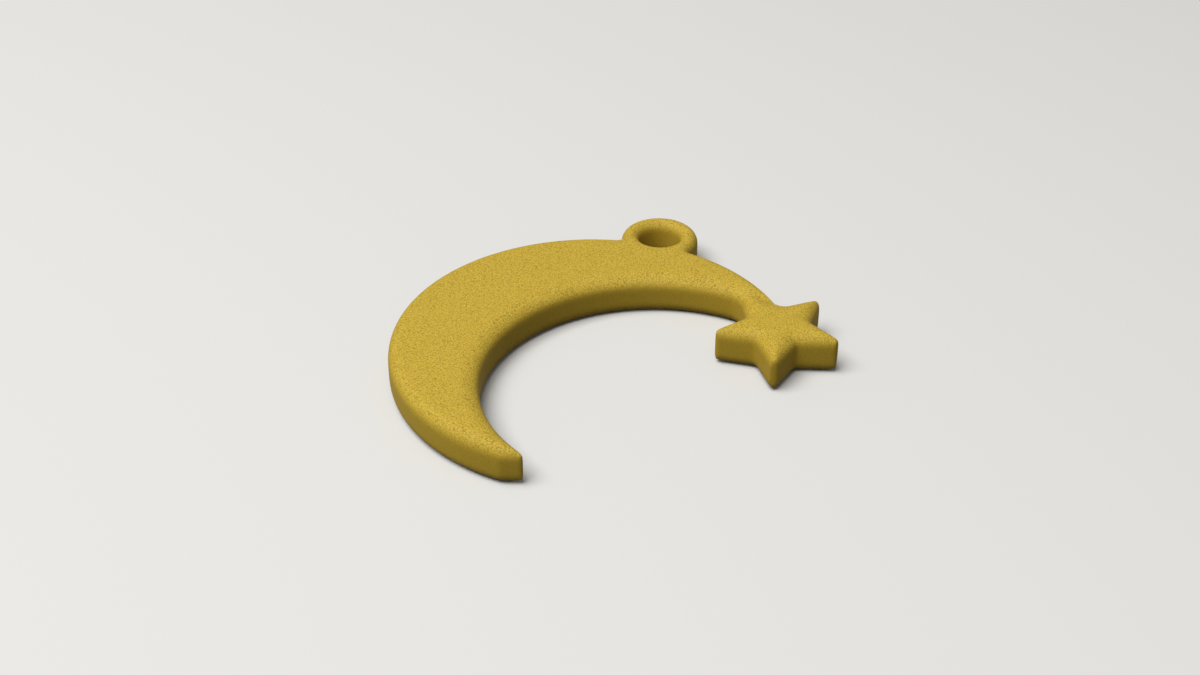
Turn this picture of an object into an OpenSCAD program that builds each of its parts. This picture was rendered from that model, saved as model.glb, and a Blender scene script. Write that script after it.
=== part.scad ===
/* [Crescent] */
// Radius of the crescent's outer edge
crescent_r = 40; // [38:0.5:44]
// Width of the crescent where it is broadest
crescent_w = 23.6; // [21:0.1:26]
// Distance from the centre of the outer edge to the centre of the bay
bay_shift = 17.6; // [16:0.1:19]
// Thickness of the crescent and the eyelet
thickness = 8.2; // [7.8:0.1:9.6]
// Rounding of the crescent's and the star's front and back edges
edge_r = 2.4; // [2:0.1:3.2]
// Width of the free horn where it ends, with the corner that its sloping face takes off
horn_end_w = 2.6; // [2.2:0.1:3.2]
// Width that the sloping face takes off the free horn's end
horn_slope_w = 1.7; // [1.2:0.1:1.9]
// Angle between the sloping face and the free horn's middle line
horn_slope = 23; // [15:1:35]

/* [Star] */
// Distance from the crescent's outer edge in to the centre of the star
star_inset = 2.5; // [1.5:0.1:3.5]
// Distance along the outer edge from the upper horn's sharp tip to the centre of the star
star_past_tip_l = 3.4; // [2:0.1:4.4]
// Radius of the circle through the star's sharp points
star_r = 14.4; // [13.4:0.1:15.4]
// Radius of the circle through the star's notches
star_notch_r = 6.8; // [6.4:0.1:7.4]
// Radius at which the star's points are blunted
star_end_r = 12.6; // [11.8:0.1:13]
// How far the star stands out in front of the crescent
star_proud = 0.3; // [0:0.1:1]
// Rounding of the corner between the crescent's outer edge and the star
neck_outer_r = 2; // [1:0.1:3]
// Rounding of the corner between the crescent's bay and the star
neck_bay_r = 4.2; // [3:0.1:5]

/* [Eyelet] */
// Distance from the crescent's outer edge out to the centre of the eyelet
eyelet_rise = 3.4; // [2.5:0.1:4.5]
// Direction of the eyelet, from the way the crescent opens
eyelet_turn = 114.8; // [108:0.1:122]
// Outer radius of the eyelet
eyelet_r = 8.3; // [7.8:0.1:9]
// Radius of the straight part of the hanging hole
bore_r = 4.5; // [3.5:0.1:4.8]
// Rounding of the lips of the hanging hole
lip_r = 2; // [1:0.1:2.2]
// Rounding of the eyelet's outer edges
eyelet_edge_r = 2.2; // [1.4:0.1:2.6]
// Rounding of the corners between the crescent and the eyelet
foot_fillet_r = 1; // [0.6:0.1:2.6]
// Material left between the hanging hole and the floor of the foot
foot_wall = 3.2; // [2:0.1:4]
// Width of the foot at its floor
foot_w = 10; // [8:0.1:11]

/* [Shells] */
// Wall thickness of the hollow shells
wall = 1.5; // [1.2:0.1:1.8]
// Radius of the locating pins
pin_r = 1.1; // [0.8:0.1:1.3]
// Height of the locating pins above the parting plane
pin_rise = 2.6; // [2:0.1:2.8]
// Space beyond the end of a pin in its socket
pin_end_gap = 0.2; // [0.1:0.05:0.3]
// Radius of the bosses that carry the pins and sockets
boss_r = 2.4; // [2:0.1:2.6]
// Thickness of the cross ribs
rib_w = 1; // [0.8:0.1:1.4]
// Length of the free horn's end that is left solid
horn_solid_l = 10; // [8:0.5:14]
// Gap all round a pin in its hole, and beside the tang and the key
fit_gap = 0.1; // [0.05:0.05:0.2]

/* [Tang and key] */
// Thickness of the eyelet's tang and of the star's key
tang_t = 2.4; // [2:0.1:3]
// Width of the tang
tang_w = 6; // [5.4:0.1:7]
// Distance from the foot's floor to the tang's pin
tang_l = 4.8; // [4:0.1:6]
// Width of the key where it runs through the neck
key_w = 2.4; // [2:0.1:2.6]
// Radius of the key's bend, which stands out a little at its sides
key_bend_r = 1.5; // [1.4:0.1:1.8]
// Radius of the key's two eyes
key_eye_r = 2.4; // [2.2:0.1:2.6]

/* [Hidden] */
$fn = 96;
gold = "#c5a843";
gold_inside = "#a88c38";

// Heights, measured from the parting plane between the front and back shells
back_z = -thickness / 2;
front_z = thickness / 2;
star_front_z = front_z + star_proud;

// One overrun serves every cut, and one reach goes past the whole object
cut = 1;
far = 2 * crescent_r;

// The bay leaves the crescent its width, and both horns end where the two circles meet
bay_r = crescent_r + bay_shift - crescent_w;
horn_meet = meet(bay_shift, crescent_r, bay_r);

// The star has five arms, and one of them points straight up
arm_count = 5;
arm_step = 360 / arm_count;
up = 90;
star_c = polar(crescent_r - star_inset, turn_of(horn_meet) - star_past_tip_l / crescent_r * 180 / PI);
// Half the angle of a star point
point_half = atan2(star_notch_r * sin(arm_step / 2), star_r - star_notch_r * cos(arm_step / 2));

// The middle line of the crescent is an ellipse, with both circle centres as its foci
spine_long = (crescent_r + bay_r) / 2;
spine_short = sqrt(pow(spine_long, 2) - pow(bay_shift / 2, 2));
// Places of the shells' own pins along that line
pin_turns = [148, 180, 214, 248];
// Places along that line of the key's pin, and of its bend
key_turn = 100;
key_bend_turn = 88;

// Sharp tip of the free horn, and the direction in which it points
horn_tip = [horn_meet[0], -horn_meet[1]];
horn_dir = unit(unit([-horn_tip[1], horn_tip[0]]) + unit([-horn_tip[1], horn_tip[0] - bay_shift]));
horn_half = acos((pow(crescent_r, 2) + pow(bay_r, 2) - pow(bay_shift, 2)) / (2 * crescent_r * bay_r)) / 2;
horn_cut_l = horn_end_w / 2 / tan(horn_half);
horn_turn = turn_of(horn_dir);
// Where the sloping face meets the blunt end
horn_slope_p = horn_tip - horn_dir * horn_cut_l + polar(horn_slope_w - horn_end_w / 2, horn_turn + 90);

// Centres of the two round corners where the upper horn runs into the star
outer_corner = corner_c(up, neck_outer_r, [0, 0], crescent_r + neck_outer_r);
bay_corner = corner_c(up + arm_step, neck_bay_r, [bay_shift, 0], bay_r - neck_bay_r);
// The joint across the neck runs through the middle of the bay's round corner
neck_turn = (turn_of(bay_corner - [bay_shift, 0]) + arm_step - point_half) / 2;
// The key runs from its pin in the horn to a bend, and straight on to its pin in the star
key_line = [spine(key_turn), spine(key_bend_turn), star_c];

// The foot of the eyelet is drawn along X, then turned to the eyelet's direction
eyelet_reach = crescent_r + eyelet_rise;
foot_corner = meet(eyelet_reach, crescent_r + foot_fillet_r, eyelet_r + foot_fillet_r);
foot_floor = eyelet_reach - bore_r - foot_wall;
foot_slope = atan2(foot_corner[1] - foot_w / 2, foot_corner[0] - foot_floor);

// A fillet reaches this far into a wall more than its circle would, so that the faces cross cleanly
bite = 0.04;

function polar(r, a) = [r * cos(a), r * sin(a)];
function unit(v) = v / norm(v);
function turn_of(v) = atan2(v[1], v[0]);

// Where two circles cross whose centres lie d apart: distance along the line of centres, then across it
function meet(d, r1, r2) =
    let(along = (d * d + r1 * r1 - r2 * r2) / (2 * d)) [along, sqrt(r1 * r1 - along * along)];

// Where a line from p along the unit vector v leaves the circle of radius r round c
function leave(p, v, c, r) =
    let(q = p - c, b = q * v) p + v * (sqrt(b * b - q * q + r * r) - b);

// A round corner's centre lies one fillet off a side of an arm, and on the circle of radius r round c
function corner_c(arm, fillet, c, r) =
    let(tip = star_c + polar(star_r, arm),
        notch = star_c + polar(star_notch_r, arm + arm_step / 2),
        v = unit(tip - notch))
    leave(notch + fillet * [-v[1], v[0]], v, c, r);

// Point on the middle line of the crescent
function spine(a) = [bay_shift / 2 + spine_long * cos(a), spine_short * sin(a)];
// Direction square to the middle line there
function spine_normal(a) = atan2(spine_long * sin(a), spine_short * cos(a));

// Outline of the eyelet's foot and of all that lies outside it, g larger all round
function foot_outline(g) =
    let(rise = g / cos(foot_slope), w = foot_w / 2 + rise - g * tan(foot_slope), top = foot_corner[1] + rise)
    [[foot_floor - g, -w], [foot_corner[0], -top], [far, -top], [far, top], [foot_corner[0], top],
        [foot_floor - g, w]];

// Half section of a disc with rounded edges
module disc_section(r, low, high, round) {
    translate([0, low]) square([r - round, high - low]);
    translate([0, low + round]) square([r, high - low - 2 * round]);
    for (z = [low + round, high - round]) translate([r - round, z]) intersection() {
        circle(round);
        translate([-r + round, -round]) square([r, 2 * round]);
    }
}

module rounded_disc(r, low, high, round) {
    rotate_extrude() disc_section(r, low, high, round);
}

// Cutter for a hole of radius r whose lips are rounded
module lipped_cutter(r, low, high, round) {
    rotate_extrude() difference() {
        translate([0, low - cut]) square([r + round, high - low + 2 * cut]);
        translate([r, low + round]) square([round + cut, high - low - 2 * round]);
        for (z = [low + round, high - round]) translate([r + round, z]) circle(round);
    }
}

// Slab along X, l long, on the side of +Y, whose long side at Y = 0 has rounded edges
module rounded_side(l, depth, low, high, round) {
    rotate([90, 0, 90]) linear_extrude(l) {
        translate([round, low]) square([depth - round, high - low]);
        translate([0, low + round]) square([2 * round, high - low - 2 * round]);
        for (z = [low + round, high - round]) translate([round, z]) circle(round);
    }
}

// The crescent as a solid, with every face moved inwards by inset
module crescent_form(inset = 0) {
    low = back_z + inset;
    high = front_z - inset;
    difference() {
        rounded_disc(crescent_r - inset, low, high, edge_r - inset);
        translate([bay_shift, 0]) lipped_cutter(bay_r + inset, low, high, edge_r - inset);
    }
}

// All that lies past the blunt end of the free horn, moved back by l
module horn_end_cut(l) {
    translate(horn_tip - horn_dir * l) rotate(horn_turn) translate([0, -crescent_r / 2, back_z - cut])
        cube([crescent_r, crescent_r, thickness + 2 * cut]);
}

// All that lies inside the sloping face of the free horn's end, with that face's edges rounded
module horn_slope_side() {
    translate(horn_slope_p) rotate(horn_turn + horn_slope) translate([-2 * far, 0, 0])
        rounded_side(4 * far, 2 * far, back_z, front_z, edge_r);
}

// One arm of the star along +X, from the middle of the star to its blunted point
module star_arm() {
    intersection() {
        for_side(1) star_side_slab();
        for_side(-1) star_side_slab();
        translate([0, 0, back_z - cut]) cylinder(r = star_end_r, h = star_front_z - back_z + 2 * cut);
        translate([0, -star_r, back_z - cut]) cube([star_r, 2 * star_r, star_front_z - back_z + 2 * cut]);
    }
}

module for_side(side) {
    if (side > 0) children();
    else mirror([0, 1, 0]) children();
}

module star_side_slab() {
    translate([star_r, 0, 0]) rotate(180 - point_half)
        rounded_side(2 * star_r, 2 * star_r, back_z, star_front_z, edge_r);
}

module star_form() {
    translate(star_c) for (i = [0 : arm_count - 1]) rotate(up + i * arm_step) star_arm();
}

// Filling of the corner round c between two walls that it touches in the directions a and b
module corner_fill(c, r, a, b, back_point) {
    reach = r + edge_r;
    low = back_z + edge_r / 2;
    high = front_z - edge_r / 2;
    difference() {
        translate([0, 0, low]) linear_extrude(high - low)
            polygon([c, c + polar(reach, a), back_point, c + polar(reach, b)]);
        translate([c[0], c[1], low - cut]) cylinder(r = r + bite, h = high - low + 2 * cut);
    }
}

// The two round corners between the upper horn and the star
module neck_corners() {
    corner_fill(outer_corner, neck_outer_r, turn_of(-outer_corner), -point_half, star_c);
    corner_fill(bay_corner, neck_bay_r, turn_of(bay_corner - [bay_shift, 0]), arm_step - point_half,
        key_line[1]);
}

// The two round corners between the crescent and the eyelet
module foot_corners() {
    for (side = [-1, 1]) {
        c = [foot_corner[0], side * foot_corner[1]];
        corner_fill(c, foot_fillet_r, turn_of(-c), turn_of([eyelet_reach, 0] - c),
            [crescent_r - edge_r, 0]);
    }
}

// All that lies on the star's side of the joint across the neck, moved towards the star by g
module star_side(g = 0) {
    translate(bay_corner) rotate(neck_turn) translate([-star_r, -far - g, -far / 2])
        cube([star_r + far, far, far]);
}

// Turns what is drawn along X to the eyelet's direction
module at_eyelet() {
    rotate(eyelet_turn) children();
}

module foot_block(g = 0) {
    at_eyelet() translate([0, 0, back_z - cut]) linear_extrude(thickness + 2 * cut)
        polygon(foot_outline(g));
}

// The eyelet's tang, g larger in outline
module tang(g = 0) {
    at_eyelet() translate([0, 0, -tang_t / 2]) {
        translate([foot_floor - tang_l, -tang_w / 2 - g, 0]) cube([tang_l + g, tang_w + 2 * g, tang_t]);
        translate([foot_floor - tang_l, 0, 0]) cylinder(r = tang_w / 2 + g, h = tang_t);
    }
}

// Straight bar between two places, w wide
module bar(p, q, w) {
    translate([p[0], p[1], -tang_t / 2]) rotate(turn_of(q - p))
        translate([0, -w / 2, 0]) cube([norm(q - p), w, tang_t]);
}

// The key that ties the star to the horn, g larger in outline
module key_form(g = 0) {
    posts([key_line[0], key_line[2]], key_eye_r + g, -tang_t / 2, tang_t / 2);
    posts([key_line[1]], key_bend_r + g, -tang_t / 2, tang_t / 2);
    for (i = [1, 2]) bar(key_line[i - 1], key_line[i], key_w + 2 * g);
}

function tang_pin() = polar(foot_floor - tang_l, eyelet_turn);
function crescent_pins() = concat([for (a = pin_turns) spine(a)], [tang_pin(), spine(key_turn)]);

// Upright round bars at the given places
module posts(places, r, low, high) {
    for (p = places) translate([p[0], p[1], low]) cylinder(r = r, h = high - low);
}

// Cross ribs at the pins that need one
module ribs() {
    for (a = concat(pin_turns, [key_turn])) translate(spine(a)) rotate(spine_normal(a))
        translate([-crescent_r / 2, -rib_w / 2, back_z]) cube([crescent_r, rib_w, thickness]);
}

// The hollow inside the crescent, with its bosses and ribs left standing
module crescent_hollow() {
    difference() {
        crescent_form(wall);
        horn_end_cut(horn_solid_l);
        star_side(-wall);
        foot_block(wall);
        ribs();
        posts(crescent_pins(), boss_r, back_z, front_z);
    }
}

// The whole crescent without the eyelet and the star
module crescent_shells() {
    difference() {
        union() {
            intersection() {
                crescent_form();
                horn_slope_side();
            }
            neck_corners();
            at_eyelet() foot_corners();
        }
        horn_end_cut(horn_cut_l);
        star_side();
        foot_block();
        crescent_hollow();
        tang(fit_gap);
        key_form(fit_gap);
    }
}

// The front half of what is drawn, with the sockets for the pins
module front_half(places) {
    difference() {
        intersection() {
            children();
            translate([-far, -far, 0]) cube([2 * far, 2 * far, far]);
        }
        posts(places, pin_r + fit_gap, -cut, pin_rise + pin_end_gap);
    }
}

// The back half of what is drawn, with its pins
module back_half(places) {
    intersection() {
        children();
        translate([-far, -far, -far]) cube([2 * far, 2 * far, far]);
    }
    posts(places, pin_r, back_z + wall, pin_rise);
}

module star_hollow() {
    inner_r = star_r - wall / sin(point_half);
    inner_notch_r = star_notch_r - wall / sin(point_half + arm_step / 2);
    difference() {
        translate([star_c[0], star_c[1], back_z + wall])
            linear_extrude(star_front_z - back_z - 2 * wall) polygon([
                for (i = [0 : arm_count - 1], side = [0, 1])
                    polar(side == 0 ? inner_r : inner_notch_r, up + (i + side / 2) * arm_step)
            ]);
        posts([star_c], boss_r, back_z, star_front_z);
        translate(bay_corner) rotate(neck_turn)
            translate([-far, -wall, -far / 2]) cube([2 * far, far, far]);
    }
}

// The whole star, with the end of the upper horn that runs into it
module star_shells() {
    difference() {
        intersection() {
            union() {
                star_form();
                crescent_form();
                neck_corners();
            }
            star_side();
        }
        star_hollow();
        key_form(fit_gap);
    }
}

module crescent_front_shell() {
    color(gold) front_half(crescent_pins()) crescent_shells();
}

module crescent_back_shell() {
    color(gold) back_half(crescent_pins()) crescent_shells();
}

module star_front_shell() {
    color(gold) front_half([star_c]) star_shells();
}

module star_back_shell() {
    color(gold) back_half([star_c]) star_shells();
}

module hanging_eyelet() {
    color(gold) difference() {
        union() {
            intersection() {
                union() {
                    crescent_form();
                    at_eyelet() foot_corners();
                    at_eyelet() translate([eyelet_reach, 0, 0])
                        rounded_disc(eyelet_r, back_z, front_z, eyelet_edge_r);
                }
                foot_block();
            }
            tang();
        }
        at_eyelet() translate([eyelet_reach, 0, 0]) lipped_cutter(bore_r, back_z, front_z, lip_r);
        posts([tang_pin()], pin_r + fit_gap, -tang_t, tang_t);
    }
}

module star_key() {
    color(gold_inside) difference() {
        key_form();
        posts([spine(key_turn), star_c], pin_r + fit_gap, -tang_t, tang_t);
    }
}

// The origin is the middle of the hanging hole
module place() {
    translate(-polar(eyelet_reach, eyelet_turn)) children();
}

place() crescent_front_shell();
place() crescent_back_shell();
place() star_front_shell();
place() star_back_shell();
place() hanging_eyelet();
place() star_key();
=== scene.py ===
import math

import bpy
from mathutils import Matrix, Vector


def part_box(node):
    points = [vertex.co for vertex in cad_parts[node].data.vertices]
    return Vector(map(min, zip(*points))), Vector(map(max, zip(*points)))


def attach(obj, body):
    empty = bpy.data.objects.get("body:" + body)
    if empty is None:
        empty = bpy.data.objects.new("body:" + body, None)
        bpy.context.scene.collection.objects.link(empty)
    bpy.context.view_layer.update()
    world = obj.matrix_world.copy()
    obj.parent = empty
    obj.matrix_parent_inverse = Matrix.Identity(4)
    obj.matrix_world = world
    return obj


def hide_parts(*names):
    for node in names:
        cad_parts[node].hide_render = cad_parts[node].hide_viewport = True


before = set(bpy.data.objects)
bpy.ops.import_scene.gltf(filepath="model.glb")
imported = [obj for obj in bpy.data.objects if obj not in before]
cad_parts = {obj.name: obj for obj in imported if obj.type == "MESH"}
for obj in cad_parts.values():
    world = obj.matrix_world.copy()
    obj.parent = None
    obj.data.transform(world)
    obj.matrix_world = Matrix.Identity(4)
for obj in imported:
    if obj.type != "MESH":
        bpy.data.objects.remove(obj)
bpy.context.view_layer.update()

bl_info = {
    "name": "Crescent and star ornament",
    "version": (1, 0, 0),
    "blender": (4, 5, 0),
    "location": "3D View > Sidebar > Ornament",
    "description": "Models a moulded, sand-coated crescent ornament with a star and an eyelet",
    "category": "Object",
}

MM = 0.001

# The back shells lie at the bottom of the frame, the star's front stands highest, and the
# shells meet in the plane through the frame's origin
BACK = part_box("crescent_back_shell")[0].z
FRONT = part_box("crescent_front_shell")[1].z
STAR_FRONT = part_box("star_front_shell")[1].z
CRESCENT_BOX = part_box("crescent_back_shell")

ARMS = 5
ARM_STEP = math.tau / ARMS
UP = math.pi / 2

# Facets of the round bodies, and of their rounded edges
ROUND_STEPS = 320
EDGE_STEPS = 8
# Edges between faces that meet at more than this angle stay sharp
SHARP = math.radians(40)
# Places closer together than this count as the same
SAME = 0.01 * MM
# A blank that is cut off later reaches this far past what it is cut by, and a cutter past it all
OVERRUN = 2 * MM
REACH = (CRESCENT_BOX[1] - CRESCENT_BOX[0]).length
# The vertices of a CAD node's loose triangles are merged within this distance
MERGE = 0.0001 * MM
# The core lies inside the wall of the outer form, and what it holds reaches a little further out
CORE_DEPTH = 0.5 * MM
CORE_LAP = 0.2 * MM

# The camera, fitted to the photo's outline: the point that it looks at, its turn about the upright
# axis, its rise above the floor, its distance, and its lens and sensor in millimetres
VIEW_TARGET = Vector((10.86, -29.6, -4.1)) * MM
VIEW_TURN, VIEW_RISE = math.radians(44.36), math.radians(33.34)
VIEW_AWAY = 341.8 * MM
LENS, SENSOR = 50, 36
NEAREST = 0.01
# One large soft lamp above the front left, an even sky, and a floor that reaches past every view;
# places and sizes in metres, power in watts
SOFTBOX_PLACE = (-0.144, -0.607, 1.372)
SOFTBOX_SIZE, SOFTBOX_POWER = 1.1, 23.4
SKY_STRENGTH = 0.18
FLOOR_SIZE = 20


def length(name, text, value):
    """Size in millimetres."""
    return bpy.props.FloatProperty(
        name=name, description=text, default=value * MM, min=0, unit="LENGTH", subtype="DISTANCE"
    )


def linear(hex_colour):
    """Linear colour for the shaders from an sRGB hex value."""
    parts = [int(hex_colour[i:i + 2], 16) / 255 for i in (1, 3, 5)]
    return [c / 12.92 if c <= 0.04045 else ((c + 0.055) / 1.055) ** 2.4 for c in parts]


def colour(name, text, hex_colour):
    """Colour given as an sRGB hex value."""
    return bpy.props.FloatVectorProperty(
        name=name, description=text, default=linear(hex_colour),
        min=0, max=1, size=3, subtype="COLOR"
    )


def angle(name, text, degrees):
    """Angle given in degrees."""
    return bpy.props.FloatProperty(
        name=name, description=text, default=math.radians(degrees),
        min=0, max=math.pi, subtype="ANGLE"
    )


class CrescentSizes(bpy.types.PropertyGroup):
    radius: length("Radius", "Radius of the crescent's outer edge", 40)
    width: length("Width", "Width of the crescent where it is broadest", 23.6)
    shift: length("Bay shift", "Distance from the outer edge's centre to the bay's centre", 17.6)
    edge: length("Edge rounding", "Rounding of the front edge on the outer side", 2.4)
    back: length("Back rounding", "Rounding of the back edges", 2)
    roll: length("Roll-off", "Width of the front rounding towards the bay", 4)
    roll_depth: length("Roll-off depth", "Depth of that rounding", 2.5)
    horn_end: length("Horn end", "Width of the free horn's end before the slope is cut", 2.2)
    slope_width: length("Slope width", "Width that the slope takes off the free horn's end", 1.7)
    slope: angle("Slope", "Angle between the slope and the free horn's middle line", 23)


class StarSizes(bpy.types.PropertyGroup):
    inset: length("Inset", "Distance from the crescent's outer edge in to the star's centre", 2.5)
    past_tip: length("Past the tip", "Distance along the edge from the horn's tip to the star", 3.4)
    radius: length("Radius", "Radius of the circle through the star's sharp points", 14.4)
    notch: length("Notch radius", "Radius of the circle through the star's notches", 6.8)
    end: length("Blunted radius", "Radius at which the points are cut off before softening", 12.7)
    roll: length("Roll-off", "Width of the front rounding round the star", 3.1)
    outer_fillet: length("Outer fillet", "Rounding between the outer edge and the star", 2)
    bay_fillet: length("Bay fillet", "Rounding between the bay and the star", 4.2)
    dip: length("Neck dip", "Distance from the star's centre to the dip that is smoothed out", 9.6)
    dip_reach: length("Dip reach", "Radius of the smoothed place", 4.6)
    dip_softness: length("Dip softness", "Rounding that the smoothing gives there", 1.7)


class EyeletSizes(bpy.types.PropertyGroup):
    rise: length("Rise", "Distance from the crescent's outer edge out to the eyelet's centre", 3.4)
    radius: length("Radius", "Outer radius of the eyelet", 8.3)
    bore: length("Hole radius", "Radius of the straight part of the hanging hole", 4.5)
    lip: length("Lip rounding", "Rounding of the lips of the hanging hole", 2)
    front_lip: length("Front lip", "Width of the front lip's rounding", 2.4)
    edge: length("Edge rounding", "Rounding of the eyelet's outer edges", 2.2)
    fillet: length("Foot fillet", "Rounding of the corners between the crescent and the eyelet", 1)
    foot_wall: length("Foot wall", "Material between the hanging hole and the foot's floor", 3.2)
    foot_width: length("Foot width", "Width of the foot at its floor", 10)


class CoatLook(bpy.types.PropertyGroup):
    softness: length("Softness", "Rounding that the thick coat gives to sharp corners", 1.15)
    voxel: length("Mesh size", "Size of the mesh of the outer form", 0.25)
    gold: colour("Gold", "Colour of the coat where its grain fades", "#C4A32E")
    # The shade colour is painted shade between the pebbles, and also the darker random flow tone of
    # the bare moulding; the glint colour is a painted highlight on the pebbles' tops
    shade: colour("Shade", "Colour of the coat between the pebbles", "#A58520")
    bright: colour("Glint", "Colour of the pebbles' tops", "#DBBC44")
    plastic: colour("Plastic", "Colour of the bare moulding inside", "#A88C38")
    grain: length("Grain", "Spacing of the coat's pebbles", 0.3)


class StageLook(bpy.types.PropertyGroup):
    floor: colour("Floor", "Colour of the floor as the camera sees it", "#E4E3E0")
    shade: colour("Floor shade", "Colour that the floor throws back on the ornament", "#404042")


GROUPS = {
    "ornament_crescent": CrescentSizes,
    "ornament_star": StarSizes,
    "ornament_eyelet": EyeletSizes,
    "ornament_coat": CoatLook,
    "ornament_stage": StageLook,
}


def polar(r, a):
    return Vector((r * math.cos(a), r * math.sin(a)))


def turn_of(v):
    return math.atan2(v.y, v.x)


def left_of(v):
    return Vector((-v.y, v.x))


def meet(d, r1, r2):
    """Where two circles cross, d apart: along the line of their centres, then across it."""
    along = (d * d + r1 * r1 - r2 * r2) / (2 * d)
    return Vector((along, math.sqrt(r1 * r1 - along * along)))


def leave(p, v, centre, r):
    """Where a line from p along the unit vector v leaves the circle of radius r round centre."""
    q = p - centre
    b = q.dot(v)
    return p + v * (math.sqrt(b * b - q.dot(q) + r * r) - b)


class Layout:
    """Places on the ornament that follow from its sizes, in the frame."""

    def __init__(self, scene):
        self.crescent = c = scene.ornament_crescent
        self.star = s = scene.ornament_star
        self.eyelet = e = scene.ornament_eyelet
        self.coat = scene.ornament_coat
        # Depth and width of the front roundings: plain, and where the form rolls off slowly
        self.plain = (c.edge, c.edge)
        self.roll = (c.roll_depth, c.roll)
        self.centre = CRESCENT_BOX[0].xy + Vector((c.radius, c.radius))
        self.bay_r = c.radius + c.shift - c.width
        self.bay = self.centre + Vector((c.shift, 0))
        tip = meet(c.shift, c.radius, self.bay_r)
        self.horn_tip = self.centre + Vector((tip.x, -tip.y))
        to_outer, to_bay = self.horn_tip - self.centre, self.horn_tip - self.bay
        self.horn_way = (left_of(to_outer).normalized() + left_of(to_bay).normalized()).normalized()
        self.horn_half = to_outer.angle(to_bay) / 2

        self.star_c = self.centre + polar(c.radius - s.inset, turn_of(tip) - s.past_tip / c.radius)
        # Half the angle between the two sides of a point
        notch = polar(s.notch, ARM_STEP / 2)
        self.point_half = math.atan2(notch.y, s.radius - notch.x)
        self.outer_corner = self.corner(UP, s.outer_fillet, self.centre, c.radius + s.outer_fillet)
        self.bay_corner = self.corner(
            UP + ARM_STEP, s.bay_fillet, self.bay, self.bay_r - s.bay_fillet
        )
        # Ways from the two corners' centres to the wall and to the arm that each touches
        self.outer_touch = (turn_of(self.centre - self.outer_corner), -self.point_half)
        self.bay_touch = (turn_of(self.bay_corner - self.bay), ARM_STEP - self.point_half)

        self.eyelet_c = Vector((0, 0))
        self.eyelet_turn = turn_of(self.eyelet_c - self.centre)
        self.reach = c.radius + e.rise
        self.foot_corner = meet(self.reach, c.radius + e.fillet, e.radius + e.fillet)
        self.foot_floor = self.reach - e.bore - e.foot_wall

    def corner(self, arm, fillet, centre, r):
        """Centre of a round corner: one fillet off a star arm's side, on the circle of radius r."""
        tip = self.star_c + polar(self.star.radius, arm)
        notch = self.star_c + polar(self.star.notch, arm + ARM_STEP / 2)
        way = (tip - notch).normalized()
        return leave(notch + left_of(way) * fillet, way, centre, r)

    def from_centre(self, along, across):
        """Point given along and across the line from the crescent's centre to the eyelet."""
        way = polar(1, self.eyelet_turn)
        return self.centre + way * along + left_of(way) * across


def clear_selection():
    """Deselects everything, in object mode."""
    if bpy.context.object and bpy.context.object.mode != "OBJECT":
        bpy.ops.object.mode_set(mode="OBJECT")
    bpy.ops.object.select_all(action="DESELECT")


def only(obj):
    """Makes obj the one selected and active object, in object mode."""
    clear_selection()
    obj.hide_viewport = False
    obj.select_set(True)
    bpy.context.view_layer.objects.active = obj


def added(name):
    """Names the primitive that was just added and puts its place into its mesh."""
    obj = bpy.context.object
    obj.name = obj.data.name = name
    bpy.ops.object.transform_apply(location=True, rotation=True, scale=True)
    return obj


def pick(obj, kind, wanted):
    """Opens obj for editing with the faces or edges selected whose vertices all pass the test."""
    only(obj)
    bpy.ops.object.mode_set(mode="EDIT")
    bpy.ops.mesh.select_mode(type=kind)
    bpy.ops.mesh.select_all(action="DESELECT")
    bpy.ops.object.mode_set(mode="OBJECT")
    mesh = obj.data
    for part in (mesh.polygons if kind == "FACE" else mesh.edges):
        part.select = all(wanted(mesh.vertices[i].co) for i in part.vertices)
    bpy.ops.object.mode_set(mode="EDIT")


def done():
    bpy.ops.object.mode_set(mode="OBJECT")


def near(a, b):
    return abs(a - b) < SAME


def modify(obj, kind, **settings):
    """Adds a modifier, sets it up and applies it."""
    only(obj)
    bpy.ops.object.modifier_add(type=kind)
    modifier = obj.modifiers[-1]
    for key, value in settings.items():
        setattr(modifier, key, value)
    bpy.ops.object.modifier_apply(modifier=modifier.name)
    return obj


def combine(obj, other, how, keep=False):
    """Joins, cuts or keeps what obj shares with other, and removes other unless it is kept."""
    modify(obj, "BOOLEAN", object=other, operation=how, solver="MANIFOLD")
    if not obj.data.polygons:
        raise RuntimeError(f"{obj.name} is empty after {how} with {other.name}")
    if not keep:
        bpy.data.objects.remove(other)
    return obj


def copied(obj, name):
    """A copy of obj with its own mesh."""
    only(obj)
    bpy.ops.object.duplicate()
    twin = bpy.context.object
    twin.name = twin.data.name = name
    return twin


def round_edges(obj, z, depth, width, wanted):
    """Rounds the edges at height z that pass the test: depth along z, and width across it."""
    pick(obj, "EDGE", lambda co: near(co.z, z) and wanted(co))
    bpy.ops.mesh.bevel(offset=width, segments=EDGE_STEPS, affect="EDGES")
    done()
    if width > depth:
        pick(obj, "EDGE", lambda co: abs(co.z - z) < width + SAME)
        bpy.ops.transform.resize(value=(1, 1, depth / width), center_override=(0, 0, z))
        done()


def cylinder(name, centre, r):
    """Plain cylinder from the back to the front."""
    clear_selection()
    bpy.ops.mesh.primitive_cylinder_add(
        vertices=ROUND_STEPS, radius=r, depth=FRONT - BACK, location=(*centre, (BACK + FRONT) / 2)
    )
    return added(name)


def rounded_disc(name, centre, r, back, front):
    """Disc with both its rims rounded, the front one by a depth and a width."""
    disc = cylinder(name, centre, r)
    round_edges(disc, BACK, back, back, lambda co: True)
    round_edges(disc, FRONT, *front, lambda co: True)
    return disc


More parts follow.
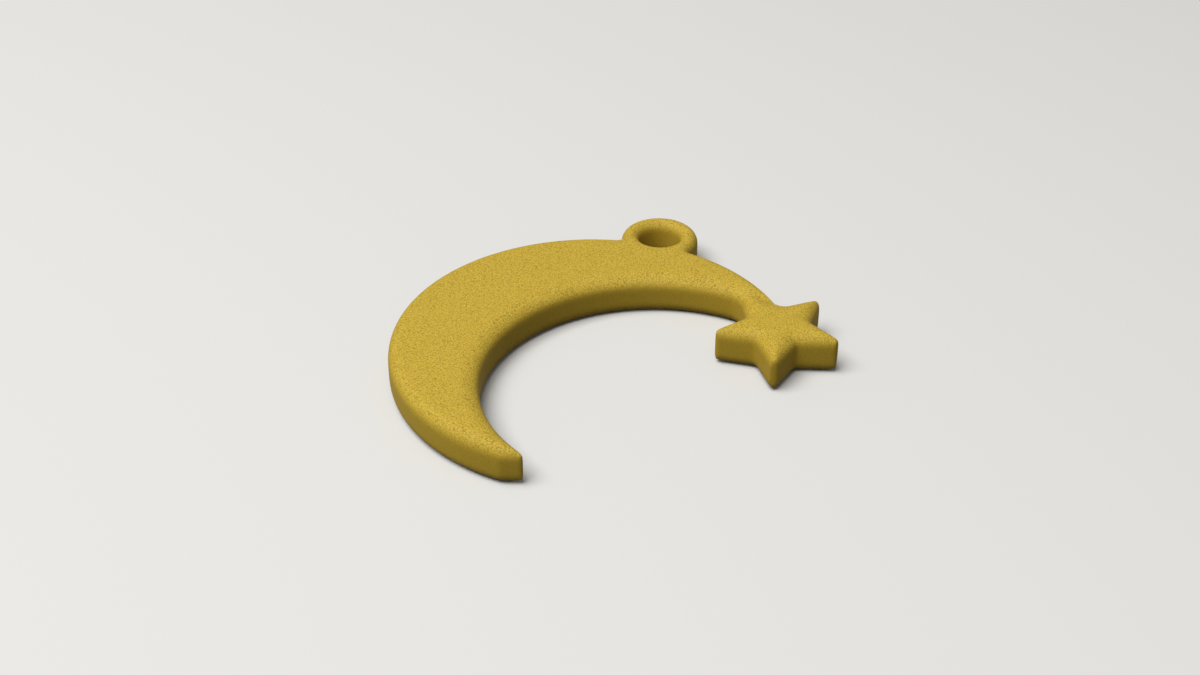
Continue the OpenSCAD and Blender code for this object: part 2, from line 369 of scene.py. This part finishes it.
def holed_plate(name, centre, r, back, front):
    """Wide plate from the back to the front, with a round hole whose lips are rounded."""
    plate = cylinder(name, centre, REACH)
    for z in (BACK, FRONT):
        pick(plate, "FACE", lambda co: near(co.z, z))
        bpy.ops.mesh.inset(thickness=REACH - r)
        done()

    def at_hole(co):
        return (co.xy - centre).length < r + OVERRUN / 2

    pick(plate, "FACE", at_hole)
    bpy.ops.mesh.bridge_edge_loops()
    done()
    for z, depth, width in ((BACK, back, back), (FRONT, *front)):
        round_edges(plate, z, depth, width, at_hole)
    return plate


def block(name, low, high, turn=0.0, pivot=(0, 0)):
    """Box between two corners, turned about an upright axis through pivot."""
    clear_selection()
    low, high = Vector(low), Vector(high)
    bpy.ops.mesh.primitive_cube_add(size=1, location=(low + high) / 2, scale=high - low)
    box = added(name)
    turn_about(box, turn, pivot)
    return box


def turn_about(obj, turn, pivot):
    """Turns the mesh about an upright axis through pivot, anticlockwise from above."""
    only(obj)
    bpy.ops.object.mode_set(mode="EDIT")
    bpy.ops.mesh.select_all(action="SELECT")
    bpy.ops.transform.rotate(value=-turn, orient_axis="Z", center_override=(*pivot, 0))
    done()


def rounded_slab(name, low, high, y, back, front):
    """Box whose two long edges at y are rounded."""
    slab = block(name, low, high)
    for z, depth, width in ((low[2], back, back), (high[2], *front)):
        round_edges(slab, z, depth, width, lambda co: near(co.y, y))
    return slab


def fillet_web(name, corner, r, from_way, to_way, front):
    """Filling between two walls that the circle round corner touches in the two directions."""
    half = (to_way - from_way) / 2
    middle = (from_way + to_way) / 2
    start, end = r * math.cos(half), r / math.cos(half) + OVERRUN
    side = r * math.sin(half)
    low = (corner.x + start, corner.y - side, BACK)
    web = block(name, low, (corner.x + end, corner.y + side, FRONT), middle, corner)
    plate = holed_plate("corner_plate", corner, r, layout().crescent.back, front)
    return combine(web, plate, "INTERSECT")


def layout():
    return Layout(bpy.context.scene)


def join(objects, name):
    """Joins objects into the first one."""
    only(objects[0])
    for obj in objects[1:]:
        obj.select_set(True)
    bpy.ops.object.join()
    joined = bpy.context.object
    joined.name = joined.data.name = name
    return joined


def crescent_blank(lay):
    """Crescent with rounded edges, with a sloping face and a square cut at the free horn's end."""
    sizes = lay.crescent
    blank = rounded_disc("crescent_blank", lay.centre, sizes.radius, sizes.back, lay.plain)
    combine(blank, holed_plate("bay_plate", lay.bay, lay.bay_r, sizes.back, lay.roll), "INTERSECT")
    end = lay.horn_tip - lay.horn_way * (sizes.horn_end / 2 / math.tan(lay.horn_half))
    turn = turn_of(lay.horn_way)
    slope_p = end + polar(sizes.slope_width - sizes.horn_end / 2, turn + math.pi / 2)
    inside = rounded_slab(
        "horn_slope", (slope_p.x - REACH, slope_p.y, BACK),
        (slope_p.x + REACH, slope_p.y + REACH, FRONT), slope_p.y, sizes.back, lay.roll
    )
    turn_about(inside, turn + sizes.slope, slope_p)
    combine(blank, inside, "INTERSECT")
    half = sizes.radius / 2
    past = block("horn_past_end", (end.x, end.y - half, BACK - OVERRUN),
                 (end.x + half, end.y + half, FRONT + OVERRUN), turn, end)
    return combine(blank, past, "DIFFERENCE")


def eyelet_blanks(lay):
    """Disc of the eyelet and the two fillets at its foot."""
    sizes = lay.eyelet
    rim = (sizes.edge, sizes.edge)
    parts = [rounded_disc("eyelet_blank", lay.eyelet_c, sizes.radius, sizes.edge, rim)]
    for side in (-1, 1):
        corner = lay.from_centre(lay.foot_corner.x, side * lay.foot_corner.y)
        to_crescent = turn_of(lay.centre - corner)
        to_eyelet = turn_of(lay.eyelet_c - corner)
        swing = math.remainder(to_eyelet - to_crescent, math.tau)
        first = min(to_crescent, to_crescent + swing)
        last = first + abs(swing)
        parts.append(fillet_web("foot_web", corner, sizes.fillet, first, last, lay.plain))
    return parts


def star_blank(lay):
    """Arms round the star's centre, each with rounded sides that meet in a ridge at its tip."""
    sizes = lay.star
    sides = []
    for side in (-1, 1):
        tip = lay.star_c + Vector((sizes.radius, 0))
        reach = 2 * sizes.radius
        slab = rounded_slab(
            "arm_side", (tip.x - reach, tip.y - reach * (side > 0), BACK),
            (tip.x, tip.y + reach * (side < 0), STAR_FRONT), tip.y,
            lay.crescent.back, (lay.crescent.edge, sizes.roll)
        )
        turn_about(slab, -side * lay.point_half, tip)
        sides.append(slab)
    arm = combine(sides[0], sides[1], "INTERSECT")
    keep = block("arm_keep", (lay.star_c.x, lay.star_c.y - sizes.radius, BACK - OVERRUN),
                 (lay.star_c.x + sizes.end, lay.star_c.y + sizes.radius, STAR_FRONT + OVERRUN))
    combine(arm, keep, "INTERSECT")
    turn_about(arm, UP, lay.star_c)
    arms = [arm]
    for i in range(1, ARMS):
        arms.append(copied(arm, "star_arm"))
        turn_about(arms[-1], i * ARM_STEP, lay.star_c)
    return arms


def neck_webs(lay):
    """The round corners where the upper horn runs into the star."""
    return [
        fillet_web("neck_web", corner, r, min(touch), max(touch), front)
        for corner, r, touch, front in (
            (lay.outer_corner, lay.star.outer_fillet, lay.outer_touch, lay.plain),
            (lay.bay_corner, lay.star.bay_fillet, lay.bay_touch, lay.roll),
        )
    ]


def passes(voxel, softness):
    """Smoothing passes that round a corner of a mesh of that size by about the softness."""
    return round(2 * (softness / voxel) ** 2)


def softened(obj, voxel, softness):
    """Fuses what obj is made of into one skin and rounds its corners."""
    modify(obj, "REMESH", mode="VOXEL", voxel_size=voxel)
    return modify(obj, "SMOOTH", factor=0.5, iterations=passes(voxel, softness))


def fill_dip(lay, form):
    """Smooths out the dip that the roundings leave in front, where the rim meets the star."""
    # The dip lies close beside the arm that points into the horn
    dip = lay.star_c + polar(lay.star.dip, UP + ARM_STEP * 5 / 6)
    floor = FRONT - lay.crescent.edge
    rim = lay.crescent.radius - lay.crescent.edge / 2
    pick(form, "FACE", lambda co: co.z > floor and (co.xy - dip).length < lay.star.dip_reach
         and (co.xy - lay.centre).length < rim)
    bpy.ops.mesh.vertices_smooth(factor=0.5, repeat=passes(lay.coat.voxel, lay.star.dip_softness))
    done()


class ORNAMENT_OT_form(bpy.types.Operator):
    """Model the outer form of the whole ornament, from which the pieces are cut"""
    bl_idname = "ornament.form"
    bl_label = "Outer form"

    def execute(self, context):
        lay = layout()
        parts = [crescent_blank(lay), *eyelet_blanks(lay)]
        sizes = lay.eyelet
        front = (sizes.lip, sizes.front_lip)
        hole = holed_plate("hole_plate", lay.eyelet_c, sizes.bore, sizes.lip, front)
        for part in parts:
            combine(part, hole, "INTERSECT", keep=True)
        bpy.data.objects.remove(hole)
        form = join([*parts, *star_blank(lay), *neck_webs(lay)], "outer_form")
        softened(form, lay.coat.voxel, lay.coat.softness)
        fill_dip(lay, form)
        return {"FINISHED"}


def star_region(lay):
    """Block round the star and the end of the upper horn, on the far side of the neck's joint."""
    turn = sum(lay.bay_touch) / 2
    x, y = lay.bay_corner
    low, high = (x - lay.star.radius, y - REACH, -REACH), (x + REACH, y, REACH)
    return block("star_region", low, high, turn, (x, y))


def foot_region(lay):
    """Block round the eyelet, whose inner end has the slanted sides of the foot."""
    half, corner = lay.eyelet.foot_width / 2, lay.foot_corner
    clear_selection()
    bpy.ops.mesh.primitive_cube_add(
        size=1, location=(corner.x + REACH / 2, 0, 0), scale=(REACH, 2 * corner.y, 2 * REACH)
    )
    region = added("foot_region")
    pick(region, "FACE", lambda co: near(co.x, corner.x))
    to_floor = (lay.foot_floor - corner.x, 0, 0)
    bpy.ops.mesh.extrude_region_move(TRANSFORM_OT_translate={"value": to_floor})
    bpy.ops.transform.resize(value=(1, half / corner.y, 1), center_override=(lay.foot_floor, 0, 0))
    bpy.ops.mesh.select_all(action="SELECT")
    bpy.ops.mesh.normals_make_consistent(inside=False)
    bpy.ops.transform.translate(value=(*lay.centre, 0))
    done()
    turn_about(region, lay.eyelet_turn, lay.centre)
    return region


def halves():
    """Everything in front of the parting plane, and everything behind it."""
    return [
        (side, block("half", (-REACH, -REACH, low), (REACH, REACH, high)))
        for side, low, high in (("front", 0, REACH), ("back", -REACH, 0))
    ]


def cad_copy(node):
    """Closed copy of a CAD node's mesh, which is loose triangles."""
    obj = copied(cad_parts[node], node + "_copy")
    obj.parent = None
    for key in list(obj.keys()):
        del obj[key]
    obj.data.materials.clear()
    only(obj)
    bpy.ops.object.mode_set(mode="EDIT")
    bpy.ops.mesh.select_all(action="SELECT")
    bpy.ops.mesh.remove_doubles(threshold=MERGE)
    done()
    return obj


def moulding(name, node, regions):
    """One moulded piece: its share of the outer skin, fused to the inside of its CAD solid."""
    piece = copied(bpy.data.objects["outer_skin"], name)
    for region, how in regions:
        combine(piece, region, how, keep=True)
    inside = cad_copy(node)
    combine(inside, bpy.data.objects["inner_core"], "INTERSECT", keep=True)
    combine(piece, inside, "UNION")
    only(piece)
    bpy.ops.object.shade_smooth_by_angle(angle=SHARP)
    piece.data.materials.clear()
    piece.data.materials.append(coat_material())
    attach(piece, "root")
    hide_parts(node)


class ORNAMENT_OT_skin(bpy.types.Operator):
    """Turn the outer form into a skin, and make the core that holds the insides of the pieces"""
    bl_idname = "ornament.skin"
    bl_label = "Skin and core"

    def execute(self, context):
        form = bpy.data.objects["outer_form"]
        hollow = modify(copied(form, "hollow"), "DISPLACE", strength=-CORE_DEPTH, mid_level=0)
        modify(copied(form, "inner_core"), "DISPLACE", strength=CORE_LAP - CORE_DEPTH, mid_level=0)
        skin = combine(form, hollow, "DIFFERENCE")
        skin.name = skin.data.name = "outer_skin"
        return {"FINISHED"}


class ORNAMENT_OT_crescent(bpy.types.Operator):
    """Make the front and the back shell of the crescent"""
    bl_idname = "ornament.crescent"
    bl_label = "Crescent shells"

    def execute(self, context):
        lay = layout()
        star, foot = star_region(lay), foot_region(lay)
        for side, half in halves():
            regions = [(half, "INTERSECT"), (star, "DIFFERENCE"), (foot, "DIFFERENCE")]
            moulding(f"crescent_{side}", f"crescent_{side}_shell", regions)
            bpy.data.objects.remove(half)
        bpy.data.objects.remove(star)
        bpy.data.objects.remove(foot)
        return {"FINISHED"}


class ORNAMENT_OT_star(bpy.types.Operator):
    """Make the front and the back shell of the star"""
    bl_idname = "ornament.star"
    bl_label = "Star shells"

    def execute(self, context):
        star = star_region(layout())
        for side, half in halves():
            regions = [(half, "INTERSECT"), (star, "INTERSECT")]
            moulding(f"star_{side}", f"star_{side}_shell", regions)
            bpy.data.objects.remove(half)
        bpy.data.objects.remove(star)
        return {"FINISHED"}


class ORNAMENT_OT_eyelet(bpy.types.Operator):
    """Make the hanging eyelet with its foot and tang"""
    bl_idname = "ornament.eyelet"
    bl_label = "Hanging eyelet"

    def execute(self, context):
        foot = foot_region(layout())
        moulding("eyelet", "hanging_eyelet", [(foot, "INTERSECT")])
        bpy.data.objects.remove(foot)
        return {"FINISHED"}


class ORNAMENT_OT_key(bpy.types.Operator):
    """Give the star's hidden key the look of bare moulded plastic"""
    bl_idname = "ornament.key"
    bl_label = "Star key"

    def execute(self, context):
        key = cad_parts["star_key"]
        key.data.materials.clear()
        key.data.materials.append(plastic_material())
        return {"FINISHED"}


def add_node(tree, kind, settings=(), **links):
    """Adds a node, sets its properties, and sets or links its sockets.

    A socket goes by its name, or by i and its number.
    """
    node = tree.nodes.new(kind)
    for key, value in dict(settings).items():
        setattr(node, key, value)
    for key, value in links.items():
        numbered = key[0] == "i" and key[1:].isdigit()
        socket = node.inputs[int(key[1:]) if numbered else key]
        if isinstance(value, bpy.types.NodeSocket):
            tree.links.new(value, socket)
        else:
            socket.default_value = value
    return node


def new_material(name):
    material = bpy.data.materials.new(name)
    material.use_nodes = True
    material.node_tree.nodes.clear()
    return material


def coat_material():
    """Matte gold coat with a fine sand in it, over moulded ABS: no gloss, and a pebbled grain with
    painted highlights and painted shade.
    """
    if "matte_sand_coat" in bpy.data.materials:
        return bpy.data.materials["matte_sand_coat"]
    look = bpy.context.scene.ornament_coat
    material = new_material("matte_sand_coat")
    tree = material.node_tree
    place = add_node(tree, "ShaderNodeTexCoord").outputs["Object"]
    # The grain, with its bumps and its painted highlights and shade, shows fully on level faces and
    # fades towards the walls
    normal = add_node(tree, "ShaderNodeNewGeometry").outputs["Normal"]
    facing = add_node(tree, "ShaderNodeSeparateXYZ", Vector=normal)
    upright = add_node(tree, "ShaderNodeMath", {"operation": "ABSOLUTE"}, i0=facing.outputs["Z"])
    show = add_node(tree, "ShaderNodeMapRange", Value=upright.outputs[0])
    show.inputs["From Max"].default_value, show.inputs["To Min"].default_value = 0.8, 0.25
    # Pebbles at the grain's spacing, with finer grit over them, stand out by under a tenth of it
    pebbles = add_node(tree, "ShaderNodeTexVoronoi", {"feature": "F1"},
                       Vector=place, Scale=1 / look.grain)
    grit = add_node(tree, "ShaderNodeTexNoise", Vector=place, Scale=1.5 / look.grain, Detail=2.0)
    height = add_node(tree, "ShaderNodeMath", {"operation": "SUBTRACT"},
                      i0=grit.outputs["Fac"], i1=pebbles.outputs["Distance"]).outputs[0]
    bump = add_node(tree, "ShaderNodeBump",
                    Strength=show.outputs[0], Distance=0.08 * look.grain, Height=height)
    # Painted highlights on the pebbles' tops, and painted shade in the coat between them
    pebble_light_ramp = add_node(tree, "ShaderNodeValToRGB", Fac=pebbles.outputs["Distance"])
    low, high = pebble_light_ramp.color_ramp.elements
    low.position, low.color = 0.2, (*look.bright, 1)
    high.position, high.color = 0.9, (*look.shade, 1)
    tone = add_node(tree, "ShaderNodeMix", {"data_type": "RGBA"},
                    i0=show.outputs[0], i6=(*look.gold, 1), i7=pebble_light_ramp.outputs["Color"])
    shader = add_node(tree, "ShaderNodeBsdfPrincipled", Roughness=0.72, Normal=bump.outputs[0])
    tree.links.new(tone.outputs[2], shader.inputs["Base Color"])
    shader.inputs["Specular IOR Level"].default_value = 0.35
    add_node(tree, "ShaderNodeOutputMaterial", Surface=shader.outputs[0])
    return material


def plastic_material():
    """Bare moulded ABS as it comes from the mould: satin, even, a little duller than the coat."""
    look = bpy.context.scene.ornament_coat
    material = new_material("moulded_abs")
    tree = material.node_tree
    place = add_node(tree, "ShaderNodeTexCoord").outputs["Object"]
    flow = add_node(tree, "ShaderNodeTexNoise", Vector=place, Scale=1 / (3 * MM), Detail=3.0)
    tone = add_node(tree, "ShaderNodeValToRGB", Fac=flow.outputs["Fac"])
    tone.color_ramp.elements[0].color = (*look.shade, 1)
    tone.color_ramp.elements[1].color = (*look.plastic, 1)
    bump = add_node(tree, "ShaderNodeBump",
                    Strength=0.2, Distance=0.02 * MM, Height=flow.outputs["Fac"])
    shader = add_node(tree, "ShaderNodeBsdfPrincipled", Roughness=0.45, Normal=bump.outputs[0])
    tree.links.new(tone.outputs["Color"], shader.inputs["Base Color"])
    add_node(tree, "ShaderNodeOutputMaterial", Surface=shader.outputs[0])
    return material


def floor_material(look):
    """Smooth matte board: pale to the camera, duller in the light that it throws back."""
    material = new_material("matte_board")
    tree = material.node_tree
    path = add_node(tree, "ShaderNodeLightPath").outputs
    larger = {"operation": "MAXIMUM"}
    seen = add_node(tree, "ShaderNodeMath", larger,
                    i0=path["Is Camera Ray"], i1=path["Is Glossy Ray"])
    pale = add_node(tree, "ShaderNodeMath", larger,
                    i0=seen.outputs[0], i1=path["Is Transmission Ray"])
    shown = add_node(tree, "ShaderNodeBsdfDiffuse", Color=(*look.floor, 1)).outputs[0]
    thrown = add_node(tree, "ShaderNodeBsdfDiffuse", Color=(*look.shade, 1)).outputs[0]
    mix = add_node(tree, "ShaderNodeMixShader", i0=pale.outputs[0], i1=thrown, i2=shown)
    add_node(tree, "ShaderNodeOutputMaterial", Surface=mix.outputs[0])
    return material


def aimed(name, data, place, target):
    """Puts a camera or a lamp in its place and points it at the target."""
    obj = bpy.data.objects.new(name, data)
    bpy.context.scene.collection.objects.link(obj)
    obj.location = place
    obj.rotation_euler = (Vector(target) - Vector(place)).to_track_quat("-Z", "Y").to_euler()
    return obj


class ORNAMENT_OT_stage(bpy.types.Operator):
    """Set up the floor, the camera, the lamp and the sky"""
    bl_idname = "ornament.stage"
    bl_label = "Stage"

    def execute(self, context):
        scene = context.scene
        look = scene.ornament_stage
        clear_selection()
        bpy.ops.mesh.primitive_plane_add(size=FLOOR_SIZE, location=(0, 0, BACK))
        floor = added("floor")
        floor.data.materials.append(floor_material(look))

        way = Vector((math.sin(VIEW_TURN) * math.cos(VIEW_RISE),
                      -math.cos(VIEW_TURN) * math.cos(VIEW_RISE), math.sin(VIEW_RISE)))
        data = bpy.data.cameras.new("camera")
        data.lens, data.sensor_width, data.clip_start = LENS, SENSOR, NEAREST
        scene.camera = aimed("camera", data, VIEW_TARGET + way * VIEW_AWAY, VIEW_TARGET)

        softbox = bpy.data.lights.new("softbox", "AREA")
        softbox.size, softbox.energy = SOFTBOX_SIZE, SOFTBOX_POWER
        aimed("softbox", softbox, SOFTBOX_PLACE, VIEW_TARGET)
        world = bpy.data.worlds.new("studio")
        scene.world = world
        world.use_nodes = True
        tree = world.node_tree
        tree.nodes.clear()
        back = add_node(tree, "ShaderNodeBackground", Color=(1, 1, 1, 1), Strength=SKY_STRENGTH)
        add_node(tree, "ShaderNodeOutputWorld", Surface=back.outputs[0])
        scene.view_settings.view_transform = "Standard"
        return {"FINISHED"}


OPERATORS = (
    ORNAMENT_OT_form,
    ORNAMENT_OT_skin,
    ORNAMENT_OT_crescent,
    ORNAMENT_OT_star,
    ORNAMENT_OT_eyelet,
    ORNAMENT_OT_key,
    ORNAMENT_OT_stage,
)


class ORNAMENT_PT_panel(bpy.types.Panel):
    """Sizes, colours and steps of the ornament"""
    bl_idname = "ORNAMENT_PT_panel"
    bl_label = "Ornament"
    bl_space_type = "VIEW_3D"
    bl_region_type = "UI"
    bl_category = "Ornament"

    def draw(self, context):
        for group in GROUPS:
            box = self.layout.box()
            box.label(text=group.split("_")[1].capitalize())
            settings = getattr(context.scene, group)
            for name in settings.__annotations__:
                box.prop(settings, name)
        for operator in OPERATORS:
            self.layout.operator(operator.bl_idname)


def register():
    for name, group in GROUPS.items():
        bpy.utils.register_class(group)
        setattr(bpy.types.Scene, name, bpy.props.PointerProperty(type=group))
    for operator in OPERATORS:
        bpy.utils.register_class(operator)
    bpy.utils.register_class(ORNAMENT_PT_panel)


def unregister():
    bpy.utils.unregister_class(ORNAMENT_PT_panel)
    for operator in reversed(OPERATORS):
        bpy.utils.unregister_class(operator)
    for name, group in reversed(GROUPS.items()):
        delattr(bpy.types.Scene, name)
        bpy.utils.unregister_class(group)


def main():
    register()
    bpy.ops.ornament.form()
    bpy.ops.ornament.skin()
    bpy.ops.ornament.crescent()
    bpy.ops.ornament.star()
    bpy.ops.ornament.eyelet()
    bpy.ops.ornament.key()
    for name in ("outer_skin", "inner_core"):
        bpy.data.objects.remove(bpy.data.objects[name])
    bpy.ops.ornament.stage()
    bpy.context.view_layer.update()


if __name__ == "__main__":
    main()
